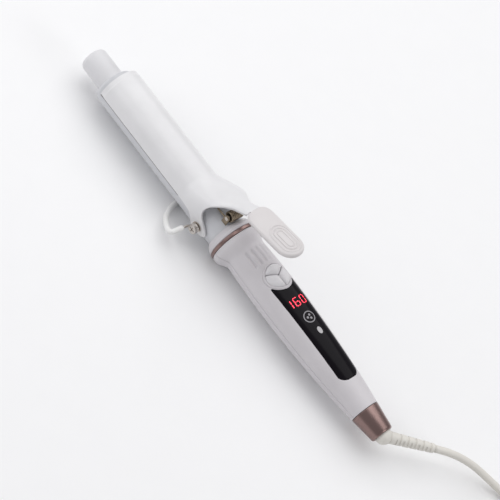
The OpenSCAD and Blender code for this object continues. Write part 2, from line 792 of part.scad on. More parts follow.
// the plug's own frame: its cord leaves at +X, at the middle of its height
module at_plug() {
    translate([plug_pos[0], plug_pos[1], plug_h / 2]) rotate([0, 0, plug_turn]) children();
}

module plug_body() color("ivory") at_plug() {
    rotate([90, 0, 90]) translate([0, 0, -plug_len]) linear_extrude(14) union() {
        square([plug_w - plug_h, plug_h], center = true);
        for (side = [-1, 1]) translate([side * (plug_w - plug_h) / 2, 0]) circle(plug_h / 2);
    }
    translate([0, 0, -plug_h / 2]) linear_extrude(plug_h) polygon([
        [-plug_len + 14, -plug_w / 2 + 4], [-6, -8], [0, -6.5], [0, 6.5], [-6, 8],
        [-plug_len + 14, plug_w / 2 - 4]]);
    rotate([0, 90, 0]) cylinder(h = 12, r1 = 5, r2 = 3.6);
}

module plug_pins() color("silver") at_plug() for (side = [-1, 1])
    translate([-plug_len - pin_len, side * pin_pitch / 2, 0]) rotate([0, 90, 0])
        cylinder(h = pin_len, r = pin_r);

barrel();
barrel_tip();
heat_spreaders();
heater_strip();
thermistor();
pivot_bosses();
pivot_screws();
pivot_washers();
spring_cheeks();
spring_pin();
clamp_spring();
clamp_plate();
clamp_cover();
clamp_lever();
lever_tang();
thumb_pad();
stand_wire();
stand_sleeve();
barrel_flange();
trim_ring();
insulator_ring();
handle_upper_shell();
handle_lower_shell();
shell_screws();
circuit_board();
board_components();
display_module();
tact_switches();
heater_leads();
display_panel();
button_bezel();
button_power();
button_plus();
button_minus();
tail_cap();
swivel_bush();
swivel_ball();
strain_relief();
cord_tube();
plug_lead();
cord_coil();
cord_tie();
plug_body();
plug_pins();
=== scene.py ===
# %% [markdown]
# A curling iron, dressed in Blender around its packed design.

# %% Load the frame
import math

import bpy
import numpy as np
from mathutils import Matrix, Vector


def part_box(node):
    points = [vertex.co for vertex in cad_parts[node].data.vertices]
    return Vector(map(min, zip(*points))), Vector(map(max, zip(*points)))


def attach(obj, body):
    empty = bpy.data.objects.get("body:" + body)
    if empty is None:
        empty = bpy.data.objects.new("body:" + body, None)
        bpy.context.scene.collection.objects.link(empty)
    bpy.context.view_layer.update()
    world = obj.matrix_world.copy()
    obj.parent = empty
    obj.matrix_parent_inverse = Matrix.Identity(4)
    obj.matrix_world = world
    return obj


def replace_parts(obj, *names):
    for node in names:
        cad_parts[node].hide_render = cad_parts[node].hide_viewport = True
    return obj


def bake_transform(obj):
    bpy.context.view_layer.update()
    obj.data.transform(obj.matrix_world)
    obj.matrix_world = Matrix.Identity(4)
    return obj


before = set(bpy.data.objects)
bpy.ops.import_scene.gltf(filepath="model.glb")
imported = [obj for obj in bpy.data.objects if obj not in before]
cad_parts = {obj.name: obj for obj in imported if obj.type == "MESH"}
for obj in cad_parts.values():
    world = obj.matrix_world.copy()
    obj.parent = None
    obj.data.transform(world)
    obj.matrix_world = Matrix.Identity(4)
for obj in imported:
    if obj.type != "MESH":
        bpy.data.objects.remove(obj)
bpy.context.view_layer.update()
MM = 0.001

# %% [markdown]
# The iron's own line. Everything turned, such as the barrel and the tail cap, shares one axis
# along X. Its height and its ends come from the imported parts, and every station along it is
# counted from the end of the cool tip, as on a drawing.

# %% The iron's axis and stations
(tip_low, tip_high), (barrel_low, barrel_high), (ring_low, ring_high), (screw_low, screw_high) = (
    np.array(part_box(node)) for node in ("barrel_tip", "barrel", "trim_ring", "pivot_screws"))

axis_z = (tip_low[2] + tip_high[2]) / 2
x_tip = tip_low[0]
x_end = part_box("tail_cap")[1][0]
x_barrel = barrel_low[0]
x_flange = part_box("barrel_flange")[0][0]
x_ring = ring_low[0]
x_collar = ring_high[0]
x_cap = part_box("handle_upper_shell")[1][0]
x_pivot = (screw_low[0] + screw_high[0]) / 2
barrel_r = (barrel_high[1] - barrel_low[1]) / 2
tip_r = (tip_high[1] - tip_low[1]) / 2
ring_r = (ring_high[1] - ring_low[1]) / 2
print("axis height", round(axis_z / MM, 2), "mm, length", round((x_end - x_tip) / MM, 1), "mm")


# %% [markdown]
# The camera looks down on the near side, turned a little towards the tail and rolled, so that
# the iron crosses the picture from corner to corner. Three angles and a distance set it.

# %% Camera
def aim_camera(aim, distance, turn, lift, roll, lens):
    """Looks at aim from distance; turn is about Z, lift is above the table, roll is about the view."""
    turn, lift, roll = (math.radians(a) for a in (turn, lift, roll))
    back = np.array([math.sin(turn), -math.cos(turn) * math.cos(lift), math.cos(turn) * math.sin(lift)])
    upright = np.array([0.0, math.sin(lift), math.cos(lift)])
    along = np.cross(upright, back)
    along /= np.linalg.norm(along)
    upright = np.cross(back, along)
    right = math.cos(roll) * along + math.sin(roll) * upright
    up = -math.sin(roll) * along + math.cos(roll) * upright
    data = bpy.data.cameras.new("camera")
    data.lens = lens
    data.sensor_width = 36
    camera = bpy.data.objects.new("camera", data)
    place = np.array(aim) + distance * back
    camera.matrix_world = Matrix(np.vstack([np.stack([right, up, back, place], 1), [0, 0, 0, 1]]).tolist())
    bpy.context.collection.objects.link(camera)
    bpy.context.scene.camera = camera


AIM = [x_tip + 183 * MM, 4.2 * MM, axis_z + 3.1 * MM]
aim_camera(AIM, 1.29, 11.6, 53.5, 52.4, 133)


# %% [markdown]
# Every new surface is a grid of points: rings of points, one after another, joined by faces.
# Numpy works the points out as whole arrays, and one function turns any such grid into a mesh.

# %% From a grid of points to a mesh
def add_mesh(name, points, faces, body, smooth=True):
    """A mesh object from an array of points and lists of faces, riding on a body of the design."""
    mesh = bpy.data.meshes.new(name)
    mesh.from_pydata(points.reshape(-1, 3).tolist(), [], faces)
    mesh.update()
    mesh.polygons.foreach_set("use_smooth", np.full(len(mesh.polygons), smooth))
    piece = bpy.data.objects.new(name, mesh)
    bpy.context.collection.objects.link(piece)
    if body:
        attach(piece, body)
    return piece


def volume(points, faces):
    """Six times the signed volume inside closed faces, which is negative if they point inwards."""
    total = 0.0
    for size in (3, 4):
        some = np.array([f for f in faces if len(f) == size])
        if len(some) == 0:
            continue
        corner = points[some]
        for k in range(1, size - 1):
            total += np.einsum("ij,ij->i", corner[:, 0], np.cross(corner[:, k], corner[:, k + 1])).sum()
    return total


def outwards(points, faces):
    """The same faces, turned round if they point inwards."""
    return [f[::-1] for f in faces] if volume(points, faces) < 0 else faces


def grid_faces(rows, columns, closed, looped=False):
    """Quads that join each point of a grid to the next in its row and the next row's.

    closed joins each row's last point to its first, and looped the last row to the first row."""
    i, j = np.meshgrid(np.arange(rows if looped else rows - 1),
                       np.arange(columns if closed else columns - 1), indexing="ij")
    k, m = (j + 1) % columns, (i + 1) % rows
    quads = np.stack([i * columns + j, i * columns + k, m * columns + k, m * columns + j], -1)
    return quads.reshape(-1, 4).tolist()


def skin(name, grid, body, poles=(True, True), smooth=True, looped=False):
    """A closed skin over rings of points, each end drawn to a pole at the middle of its ring."""
    rows, columns, _ = grid.shape
    points = grid.reshape(-1, 3)
    faces = grid_faces(rows, columns, True, looped)
    for row, wanted in ((0, poles[0]), (rows - 1, poles[1])):
        if not wanted:
            continue
        pole = len(points)
        points = np.vstack([points, grid[row].mean(0)])
        ring = row * columns + np.arange(columns)
        after = np.roll(ring, -1)
        fan = np.stack([ring, np.full(columns, pole), after], -1)
        if row:
            fan = fan[:, ::-1]
        faces += fan.tolist()
    return add_mesh(name, points, outwards(points, faces), body, smooth)


def lathe(name, profile, body):
    """Turns a profile of [station, radius] about the iron's axis, with a disc over each open end."""
    profile = np.array(profile, dtype=float)
    angle = np.linspace(0, 2 * np.pi, 128, endpoint=False)
    x, r = profile[:, 0:1], profile[:, 1:2]
    grid = np.stack([x + 0 * angle, r * np.sin(angle), axis_z + r * np.cos(angle)], -1)
    return skin(name, grid, body)


def rounded(points, radius, steps=5):
    """A profile with each inner corner replaced by a curve that starts radius away from it."""
    points = [np.array(p, dtype=float) for p in points]
    out = [points[0]]
    for before, corner, after in zip(points, points[1:], points[2:]):
        to_before, to_after = before - corner, after - corner
        reach = min(radius, 0.45 * np.linalg.norm(to_before), 0.45 * np.linalg.norm(to_after))
        a = corner + reach * to_before / np.linalg.norm(to_before)
        b = corner + reach * to_after / np.linalg.norm(to_after)
        for t in np.linspace(0, 1, steps):
            out.append((1 - t) ** 2 * a + 2 * t * (1 - t) * corner + t**2 * b)
    out.append(points[-1])
    return np.array(out)


def shell(name, outer, inner, body):
    """A curved plate between two grids of the same size, closed all round its edge."""
    rows, columns, _ = outer.shape
    count = rows * columns
    index = np.arange(count).reshape(rows, columns)
    edge = np.concatenate([index[0, :-1], index[:-1, -1], index[-1, :0:-1], index[:0:-1, 0]])
    after = np.roll(edge, -1)
    faces = grid_faces(rows, columns, False)
    faces += [[q + count for q in f[::-1]] for f in faces]
    faces += np.stack([after, edge, edge + count, after + count], -1).tolist()
    points = np.vstack([outer.reshape(-1, 3), inner.reshape(-1, 3)])
    return add_mesh(name, points, outwards(points, faces), body)


def ease(t):
    """Rises from 0 to 1 as t does, flat at both ends: 3t squared less 2t cubed."""
    t = np.clip(t, 0, 1)
    return t * t * (3 - 2 * t)


def round_edges(piece, width, angle):
    """A Bevel modifier on the edges that are sharper than an angle."""
    bevel = piece.modifiers.new("rounding", "BEVEL")
    bevel.width = width
    bevel.segments = 3
    bevel.angle_limit = math.radians(angle)
    return piece


def along_curve(path):
    """Distance along a path of points at each of its points."""
    return np.concatenate([[0], np.cumsum(np.linalg.norm(np.diff(path, axis=0), axis=1))])


def smooth_path(points, step):
    """A Catmull-Rom curve through points, cut into equal steps."""
    points = np.array(points, dtype=float)
    padded = np.vstack([2 * points[0] - points[1], points, 2 * points[-1] - points[-2]])
    p0, p1, p2, p3 = padded[:-3], padded[1:-2], padded[2:-1], padded[3:]
    t = np.linspace(0, 1, 16, endpoint=False)[None, :, None]
    p0, p1, p2, p3 = (p[:, None, :] for p in (p0, p1, p2, p3))
    curve = 0.5 * (2 * p1 + (p2 - p0) * t + (2 * p0 - 5 * p1 + 4 * p2 - p3) * t**2
                   + (3 * p1 - p0 - 3 * p2 + p3) * t**3)
    curve = np.vstack([curve.reshape(-1, 3), points[-1]])
    run = along_curve(curve)
    even = np.linspace(0, run[-1], max(2, int(run[-1] / step)))
    return np.stack([np.interp(even, run, curve[:, k]) for k in range(3)], -1)


def tube_grid(path, radius, sides):
    """Rings of points round a path. The ring's frame is carried along without twisting."""
    tangent = np.gradient(path, axis=0)
    tangent /= np.linalg.norm(tangent, axis=1)[:, None]
    side = np.cross(tangent[0], [0, 0, 1.0])
    if np.linalg.norm(side) < 0.1:
        side = np.cross(tangent[0], [0, 1.0, 0])
    sides_at = []
    for t in tangent:
        side = side - t * (side @ t)
        side = side / np.linalg.norm(side)
        sides_at.append(side)
    sides_at = np.array(sides_at)
    up = np.cross(tangent, sides_at)
    angle = np.linspace(0, 2 * np.pi, sides, endpoint=False)
    radius = np.broadcast_to(np.asarray(radius, dtype=float), (len(path),))[:, None, None]
    around = sides_at[:, None] * np.cos(angle)[None, :, None] + up[:, None] * np.sin(angle)[None, :, None]
    return path[:, None] + radius * around


def tube(name, path, radius, body, sides=16):
    """A round bar of constant or changing radius along a path."""
    return skin(name, tube_grid(np.array(path, dtype=float), radius, sides), body)


# %% [markdown]
# The cord is one length of flexible lead. Its route over the table is a short list of given
# points; the coil is worked out turn by turn, inwards on the table, outwards in the next
# layer and inwards again on top; then it drops off the coil into the plug.

# %% Cord
CORD_D = 5.5 * MM
ROUTE = MM * np.array([
    [198, 27.5, 19.2], [206, 35.5, 18.8], [214.5, 43, 17], [224, 50, 13.5], [234, 56, 9],
    [245, 61, 5.4], [257, 65, 3.4], [270, 68, 3.1], [283, 69.4, 3.4], [295, 69.6, 3.6],
])
PLUG_ROUTE = MM * np.array([
    [320.9, 7.1, 14.8], [311.5, -3, 13.2], [302, -10.7, 10.6], [294, -15.1, 8.2], [285.7, -17.4, 7],
])
coil_low, coil_high = (np.array(c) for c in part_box("cord_coil"))
coil_centre = (coil_low + coil_high) / 2
PITCH = 5.6 * MM
coil_outer = (coil_high[0] - coil_low[0]) / 2 - CORD_D / 2
coil_bottom = coil_low[2] + CORD_D / 2


def coil_path():
    """Turns clockwise from the top of the coil: three inwards, three outwards, then 2 3/8 more."""
    turns = 7 + 5 / 8 + 0.75
    t = np.linspace(0, turns, int(turns * 72) + 1)
    layer = np.minimum(np.floor(t / 3), 2)
    within = t - 3 * layer
    rise = ease((within - 2.75) / 0.25)
    inward = np.clip(within, 0, 2.85) / 2.85 * 2 * PITCH
    radius = coil_outer - np.where(layer == 1, 2 * PITCH - inward, inward)
    last = np.sin(np.pi * np.clip(within / (turns - 6), 0, 1))
    radius = np.where(layer == 2, coil_outer - 1.2 * PITCH * last, radius)
    z = coil_bottom + PITCH * (layer + np.where(layer < 2, rise, 0))
    angle = np.pi / 2 - 2 * np.pi * t
    return np.stack([coil_centre[0] + radius * np.cos(angle), coil_centre[1] + radius * np.sin(angle), z], -1)


coil = coil_path()
cord_line = np.vstack([
    smooth_path(np.vstack([ROUTE, coil[3:4]]), 3 * MM)[:-1],
    coil[3:-3],
    smooth_path(np.vstack([coil[-4:-3], PLUG_ROUTE]), 3 * MM)[1:],
])
cord_length = along_curve(cord_line)[-1]
cord = tube("cord", cord_line, CORD_D / 2, "swivel", 14)
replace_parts(cord, "cord_tube", "plug_lead", "cord_coil")
print("cord length", round(cord_length, 3), "m")

# %% [markdown]
# A drawing of the iron gives sizes in millimetres along the axis, so two short helpers turn a
# station and a height above the axis into a place in metres.

# %% Places from the drawing's sizes
def station(s):
    """The place along X of a station counted in millimetres from the end of the tip."""
    return x_tip + s * MM


def height(h):
    """The place along Z of a height in millimetres above the iron's axis."""
    return axis_z + h * MM


PIVOT = (x_pivot - x_tip) / MM
CAP = (x_cap - x_tip) / MM
END = (x_end - x_tip) / MM
print("pivot at", round(PIVOT, 1), "tail cap from", round(CAP, 1), "to", round(END, 1))

# %% [markdown]
# Most of the iron is moulded plastic or coated metal in near-whites that differ only a little in
# tint and gloss. One function makes them all: a base colour that wanders slightly, a roughness
# that wanders with it, and a fine bump for the mould's grain. A flat colour would look like
# paper; these small changes are what the eye reads as a real surface.

# %% Materials
def set_inputs(node, values):
    """Sets a node's own inputs by their names."""
    for name, value in values.items():
        node.inputs[name].default_value = value


def new_material(name):
    """A node material with its Principled shader and a noise in object coordinates."""
    material = bpy.data.materials.new(name)
    material.use_nodes = True
    nodes, links = material.node_tree.nodes, material.node_tree.links
    shader = nodes["Principled BSDF"]
    place = nodes.new("ShaderNodeTexCoord")
    return material, nodes, links, shader, place


def noise(nodes, links, place, scale, detail=3.0):
    """A noise texture in the piece's own coordinates, with cells about 1 / scale metres across."""
    texture = nodes.new("ShaderNodeTexNoise")
    set_inputs(texture, {"Scale": scale, "Detail": detail})
    links.new(place.outputs["Object"], texture.inputs["Vector"])
    return texture


def span(nodes, links, source, low, high):
    """Carries a noise's middle range, 0.3 to 0.7, on to the range from low to high."""
    node = nodes.new("ShaderNodeMapRange")
    set_inputs(node, {"From Min": 0.3, "From Max": 0.7, "To Min": low, "To Max": high})
    links.new(source, node.inputs["Value"])
    return node.outputs["Result"]


def moulded(name, colour, rough, grain=0.05, drift=0.03, metal=0.0, coat=0.0, coat_rough=0.2,
            grain_scale=9000, sheen=0.0, specular=0.5, stretch=None):
    """Colour and roughness that drift over a few centimetres, and a fine bump for the grain."""
    material, nodes, links, shader, place = new_material(name)
    broad = noise(nodes, links, place, 45)
    fine = noise(nodes, links, place, grain_scale, 2.0)
    if stretch:
        mapping = nodes.new("ShaderNodeMapping")
        set_inputs(mapping, {"Scale": stretch})
        links.new(place.outputs["Object"], mapping.inputs["Vector"])
        links.new(mapping.outputs["Vector"], fine.inputs["Vector"])
    ramp = nodes.new("ShaderNodeValToRGB")
    for stop, place_on_ramp, change in zip(ramp.color_ramp.elements, (0.3, 0.7), (-drift, drift)):
        stop.position = place_on_ramp
        stop.color = (*[min(1, c * (1 + change)) for c in colour], 1)
    links.new(broad.outputs["Fac"], ramp.inputs["Fac"])
    links.new(ramp.outputs["Color"], shader.inputs["Base Color"])
    links.new(span(nodes, links, fine.outputs["Fac"], rough * 0.9, rough * 1.12), shader.inputs["Roughness"])
    bump = nodes.new("ShaderNodeBump")
    set_inputs(bump, {"Strength": grain, "Distance": 0.0002})
    links.new(fine.outputs["Fac"], bump.inputs["Height"])
    links.new(bump.outputs["Normal"], shader.inputs["Normal"])
    set_inputs(shader, {"Metallic": metal, "Coat Weight": coat, "Coat Roughness": coat_rough,
                        "Sheen Weight": sheen, "Specular IOR Level": specular})
    return material


def glowing(name, colour, strength):
    """A display's light: a coloured emission behind a surface of slightly uneven gloss."""
    material, nodes, links, shader, place = new_material(name)
    grain = noise(nodes, links, place, 2500)
    set_inputs(shader, {"Base Color": (*[c * 0.4 for c in colour], 1), "Emission Color": (*colour, 1),
                        "Emission Strength": strength})
    links.new(span(nodes, links, grain.outputs["Fac"], 0.3, 0.45), shader.inputs["Roughness"])
    return material


finish = {
    "barrel_white": moulded("barrel coating", (0.63, 0.635, 0.66), 0.30, grain=0.10, coat=0.25),
    "tip_white": moulded("cool tip plastic", (0.72, 0.715, 0.73), 0.42, grain=0.12),
    "cover_white": moulded("clamp cover plastic", (0.775, 0.77, 0.78), 0.34, grain=0.06, coat=0.15,
                           coat_rough=0.3),
    "pad_white": moulded("thumb pad plastic", (0.70, 0.67, 0.67), 0.55, grain=0.22, grain_scale=6000),
    "handle_white": moulded("handle soft coat", (0.64, 0.615, 0.635), 0.48, grain=0.12, sheen=0.1),
    "button_white": moulded("button silicone", (0.74, 0.725, 0.74), 0.40, grain=0.08),
    "gloss_black": moulded("display window", (0.005, 0.004, 0.006), 0.18, grain=0.01, specular=0.11),
    "black_plastic": moulded("inner black plastic", (0.02, 0.02, 0.022), 0.5, grain=0.2),
    "rose_metal": moulded("rose metal", (0.27, 0.185, 0.172), 0.30, grain=0.15, metal=1.0,
                          grain_scale=3500, stretch=(6.0, 1.0, 1.0)),
    "plate_steel": moulded("clamp plate steel", (0.17, 0.165, 0.165), 0.38, grain=0.2, metal=0.8,
                           grain_scale=3000),
    "nickel": moulded("nickel", (0.62, 0.58, 0.54), 0.24, grain=0.08, metal=1.0, grain_scale=4000),
    "spring_bronze": moulded("spring bronze", (0.30, 0.245, 0.18), 0.27, grain=0.15, metal=1.0,
                             grain_scale=4000, drift=0.12),
    "aluminium": moulded("cast aluminium", (0.68, 0.68, 0.69), 0.42, grain=0.3, metal=1.0, grain_scale=2500),
    "ceramic": moulded("ceramic", (0.72, 0.66, 0.55), 0.6, grain=0.25, grain_scale=4000),
    "heater_film": moulded("heater film", (0.42, 0.20, 0.06), 0.35, grain=0.1, coat=0.4),
    "board_green": moulded("circuit board", (0.02, 0.16, 0.06), 0.38, grain=0.3, grain_scale=1500, coat=0.3),
    "wire_red": moulded("lead insulation", (0.45, 0.03, 0.02), 0.45, grain=0.1),
    "silicone_white": moulded("stand silicone", (0.79, 0.785, 0.775), 0.50, grain=0.15, sheen=0.15),
    "cord_ivory": moulded("cord rubber", (0.74, 0.715, 0.665), 0.48, grain=0.2, grain_scale=5000),
    "tie_grey": moulded("cord tie", (0.30, 0.30, 0.31), 0.6, grain=0.3, grain_scale=3000),
}
digit_light = glowing("digit light", (1.0, 0.045, 0.085), 2.2)
icon_print = moulded("icon print", (0.30, 0.29, 0.31), 0.35, grain=0.05)
silver_dot = moulded("silver dot", (0.46, 0.45, 0.46), 0.4, grain=0.1)


def paint(piece, name, material=None):
    """Gives a piece its finish."""
    piece.data.materials.clear()
    piece.data.materials.append(material or finish[name])
    return piece


def finished(piece, name, *nodes):
    """Paints a new piece and lets it stand for the design's nodes that it was made from."""
    return paint(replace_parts(piece, *nodes), name)


print("finishes:", len(finish))

# %% [markdown]
# The barrel, the cool tip, the flange, the rose ring and the tail cap are all turned on a lathe
# or moulded round. A profile of a few points is enough for each: its corners are softened, then
# it is turned about the axis. A real edge is never sharp, and the thin highlight along it is
# what makes a turned part look solid. A ring is closed by two thin discs across its bore, which
# the parts inside it hide.

# %% Barrel and tip
def ring_loop(points, radius):
    """A closed profile with all its corners softened, starting in the middle of its first side."""
    points = np.array(points, dtype=float)
    middle = (points[0] + points[1]) / 2
    return rounded([middle, *points[1:], points[0], middle], radius)[:-1]


bore_r = barrel_r - 1.6 * MM
barrel_back = float(barrel_high[0])
barrel = lathe("barrel_tube", ring_loop([
    [x_barrel + 2.6 * MM, tip_r - 2.3 * MM], [x_barrel, tip_r - 2.3 * MM], [x_barrel, barrel_r],
    [barrel_back, barrel_r], [barrel_back, bore_r], [x_barrel + 2.6 * MM, bore_r]], 2.4 * MM), "root")
finished(barrel, "barrel_white", "barrel")

tip = lathe("cool_tip", rounded([
    [x_tip, 0.4 * MM], [x_tip, tip_r - 0.15 * MM], [x_tip + 12 * MM, tip_r], [x_barrel - 0.5 * MM, tip_r],
    [x_barrel - 0.4 * MM, tip_r - 0.5 * MM], [x_barrel, tip_r - 0.55 * MM], [x_barrel, tip_r - 2.35 * MM],
    [x_barrel + 8 * MM, tip_r - 2.35 * MM], [x_barrel + 8 * MM, 0.4 * MM]], 4.2 * MM, 9), "root")
finished(tip, "tip_white", "barrel_tip")

# %% Flange, rose ring and tail cap
flange = lathe("end_flange", ring_loop([
    [x_flange, barrel_r + 0.02 * MM], [x_flange, barrel_r + 1.4 * MM], [x_ring - 2.6 * MM, ring_r - 0.8 * MM],
    [x_ring, ring_r - 0.6 * MM], [x_ring, barrel_r + 0.02 * MM]], 0.6 * MM), "root")
finished(flange, "handle_white", "barrel_flange")

band = lathe("rose_ring", ring_loop([
    [x_ring + 0.1 * MM, barrel_r + 0.02 * MM], [x_ring + 0.1 * MM, ring_r - 0.35 * MM],
    [x_ring + 0.45 * MM, ring_r], [x_collar - 0.45 * MM, ring_r], [x_collar - 0.1 * MM, ring_r - 0.35 * MM],
    [x_collar - 0.1 * MM, barrel_r + 0.02 * MM]], 0.4 * MM), "root")
finished(band, "rose_metal", "trim_ring")

cap_front_r = 10.75 * MM
cap = lathe("tail_cap_shell", ring_loop([
    [x_cap + 0.15 * MM, 8.5 * MM], [x_cap + 0.15 * MM, cap_front_r], [x_end - 1 * MM, 8.45 * MM],
    [x_end, 7.6 * MM], [x_end, 6.4 * MM], [x_end - 2.5 * MM, 6.4 * MM], [x_end - 2.5 * MM, 7.6 * MM],
    [x_cap - 6 * MM, 7.6 * MM], [x_cap - 6 * MM, 8.5 * MM]], 0.7 * MM), "root")
finished(cap, "rose_metal", "tail_cap")

# %% [markdown]
# The handle is a long, soft spindle behind a round collar, in two shells that meet along its
# sides. Its radius is a flat parabola along the axis, blended into the collar by an S-curve.
# A shell is that surface on a grid, pressed in wherever the real one is moulded deeper: five
# ribs for grip, a seat under the buttons, a seat under the window and two screw wells below.

# %% The handle's surface
COLLAR = (x_collar - x_tip) / MM
BUTTON = COLLAR + 39.8
BEZEL_R = 10.5
WINDOW_END = BUTTON + BEZEL_R + 76.4
WINDOW_W, WINDOW_END_W, WINDOW_ROUND, WINDOW_STEP = 10.7, 8.8, 7.0, 5.6
HANDLE_R, COLLAR_R, WIDEST = 16.35, 19.0, 54


def handle_radius(s):
    """16.35 mm less a parabola about the widest place, eased out from the collar's 19 mm."""
    body = HANDLE_R - 5.6 * ((s - COLLAR - WIDEST) / 95) ** 2
    return body + (COLLAR_R - body) * (1 - ease((s - COLLAR - 3.2) / 9.5))


def handle_centre(s):
    """Height of the handle's middle above the barrel's axis: its axis rises towards the collar."""
    return (CAP - s) * math.tan(math.radians(0.57)) * ease((s - COLLAR - 3.2) / 9.5)


def handle_top(s, y, grow):
    """Height above the axis of the handle's upper side, grown by a distance, at a station and a Y."""
    r = handle_radius(s) + grow
    return handle_centre(s) + np.sqrt(np.maximum(r * r - y * y, 0))


def window_half_width(s):
    """The window narrows evenly from the buttons to where its rounded end starts."""
    t = np.clip((s - BUTTON) / (WINDOW_END - WINDOW_ROUND - BUTTON), 0, 1)
    return WINDOW_W + (WINDOW_END_W - WINDOW_W) * t


def window_front(y):
    """The window's front end follows the bezel's circle, and is square beside it."""
    return BUTTON + np.maximum(np.sqrt(np.maximum((BEZEL_R + 0.5) ** 2 - y * y, 0)), WINDOW_STEP)


def window_back(y):
    """The window's back end is straight in the middle and has a round corner on each side."""
    over = np.maximum(np.abs(y) - (WINDOW_END_W - WINDOW_ROUND), 0)
    return WINDOW_END - WINDOW_ROUND + np.sqrt(np.maximum(WINDOW_ROUND**2 - over**2, 0))


def pressed_in(s, y, angle):
    """Depth of the seats and ribs at a station, a Y and an angle from the top, in millimetres."""
    # pressing in moves the surface towards the middle, so the buttons' seat starts wider in Y
    buttons = 2.2 * ease((BEZEL_R - 0.4 - np.hypot(s - BUTTON, 0.92 * y)) / 0.5)
    inside = np.minimum(window_half_width(s) - np.abs(y), np.minimum(s - window_front(y), window_back(y) - s))
    window = 1.2 * ease((inside - 0.1) / 0.5)
    ribs = 0
    for a in (-34, -17, 0, 17, 34):
        away = np.hypot(np.maximum(np.abs(s - COLLAR - 20.8) - 5.6, 0), np.radians(angle - a) * 16)
        ribs = ribs + 1.2 * np.exp(-((away / 1.0) ** 2))
    return np.maximum(buttons, window) + ribs


def handle_shell(name, up, rows, columns, wells=()):
    """Half of the handle: angle from the top runs from side to side, station from collar to cap."""
    s = np.linspace(COLLAR + 0.12, CAP - 0.12, rows)[:, None]
    turn = np.linspace(-1, 1, columns)[None, :]
    angle = 89.7 * turn
    y = handle_radius(s) * np.sin(np.radians(angle))
    depth = 0.3 * np.maximum(0, (np.abs(angle) - 88.3) / 1.4) ** 2
    depth = depth + 0.5 * np.maximum(0, 1 - (s - COLLAR) / 0.6) ** 2
    if up > 0:
        depth = depth + pressed_in(s, y, angle)
    for well in wells:
        depth = depth + 4.5 * ease((2.3 - np.hypot(s - well, y)) / 0.35)

    def surface(inset):
        r = (handle_radius(s) - inset) + 0 * turn
        sideways = r * np.sin(np.radians(angle))
        upward = handle_centre(s) + up * r * np.cos(np.radians(angle))
        return np.stack([station(s) + 0 * r, sideways * MM, height(upward)], -1)

    wall = np.where(s < COLLAR + 6, handle_radius(s) - 15.02, np.minimum(2.2, handle_radius(s) - 8.6))
    return shell(name, surface(depth), surface(np.maximum(wall, depth + 0.5)), "root")


upper = handle_shell("upper_shell", 1, 288, 170)
lower = handle_shell("lower_shell", -1, 240, 110, wells=(COLLAR + 18, CAP - 12))
finished(upper, "handle_white", "handle_upper_shell")
finished(lower, "handle_white", "handle_lower_shell")
print("handle's widest:", round(float(handle_radius(COLLAR + WIDEST)) * 2, 1), "mm")

# %% [markdown]
# A glossy black window is let into the top of the handle, and behind it a red display shows the
# temperature. The window is one slab that follows the handle's curve and rolls off at its edge.
# Its digits are drawn the way such a display draws them: seven bars a digit, some of them lit.

# %% Display window
def window_slab():
    """Across runs sideways and along from the front arc to the back; both crowd near the edge."""
    across = np.sin(np.linspace(-1, 1, 61) * np.pi / 2)[None, :]
    along = (1 - np.cos(np.linspace(0, 1, 181) * np.pi)[:, None]) / 2
    y = across * WINDOW_END_W + 0 * along
    for _ in range(4):
        front, back = window_front(y), window_back(np.clip(y, -WINDOW_END_W, WINDOW_END_W))
        s = front + along * (back - front)
        y = across * window_half_width(s)
    edge = np.minimum(window_half_width(s) * (1 - np.abs(across)), np.minimum(s - front, back - s))
    roll = 0.5 * np.maximum(0, 1 - edge / 0.9) ** 2
    grids = [np.stack([station(s), y * MM, height(handle_top(s, y, grow) - drop)], -1)
             for grow, drop in ((0.25, roll), (-1.1, 0))]
    return shell("window", grids[0], grids[1], "root")


window = window_slab()
finished(window, "gloss_black", "display_panel")

# %% Digits, icon and dot
BARS = {"a": (0, 6.2, 0), "g": (0, 3.1, 0), "d": (0, 0, 0), "f": (-1.75, 4.65, 1), "b": (1.75, 4.65, 1),
        "e": (-1.75, 1.55, 1), "c": (1.75, 1.55, 1)}
LIT = {"1": "bc", "6": "acdefg", "0": "abcdef"}


def on_window(s, y, proud):
    """A point on the window's surface, a little proud of it."""
    return np.stack([station(s), y * MM + 0 * s, height(handle_top(s, y, 0.25 + proud))], -1)


def raised_outline(name, outlines, high, material):
    """Each flat outline of [station, Y] points, laid on the window as a thin plate with its own side."""
    points, faces = [], []
    for outline in outlines:
        n, start = len(outline), sum(len(p) for p in points)
        points += [on_window(outline[:, 0], outline[:, 1], p) for p in (high, 0.0)]
        ring = np.arange(n)
        sides = np.stack([ring, ring + n, (ring + 1) % n + n, (ring + 1) % n], -1) + start
        piece = [(ring + start).tolist(), (ring[::-1] + start + n).tolist(), *sides.tolist()]
        flat = points[-2]
        turn = np.cross(flat[1] - flat[0], flat[2] - flat[0])[2]
        faces += piece if turn > 0 else [f[::-1] for f in piece]
    return paint(add_mesh(name, np.vstack(points), faces, "root", smooth=False), "gloss_black", material)


def digit_bars(figure, middle):
    """Six-cornered bars: 3.5 mm wide and 6.2 mm tall figures whose tops point at the tip."""
    bars = []
    for name in LIT[figure]:
        sideways, rise, standing = BARS[name]
        long, half = 1.4 if standing else 1.5, 0.29
        shape = np.array([[-long, 0], [-long + half, half], [long - half, half], [long, 0],
                          [long - half, -half], [-long + half, -half]])
        if standing:
            shape = shape[:, ::-1]
        y = middle + sideways + shape[:, 0]
        up = rise + shape[:, 1]
        bars.append(np.stack([237.7 - up, y], -1))
    return bars


def ellipse(s, y, long, wide, n=40):
    """A closed oval of [station, Y] points."""
    t = np.linspace(0, 2 * np.pi, n, endpoint=False)
    return np.stack([s + long * np.cos(t), y + wide * np.sin(t)], -1)


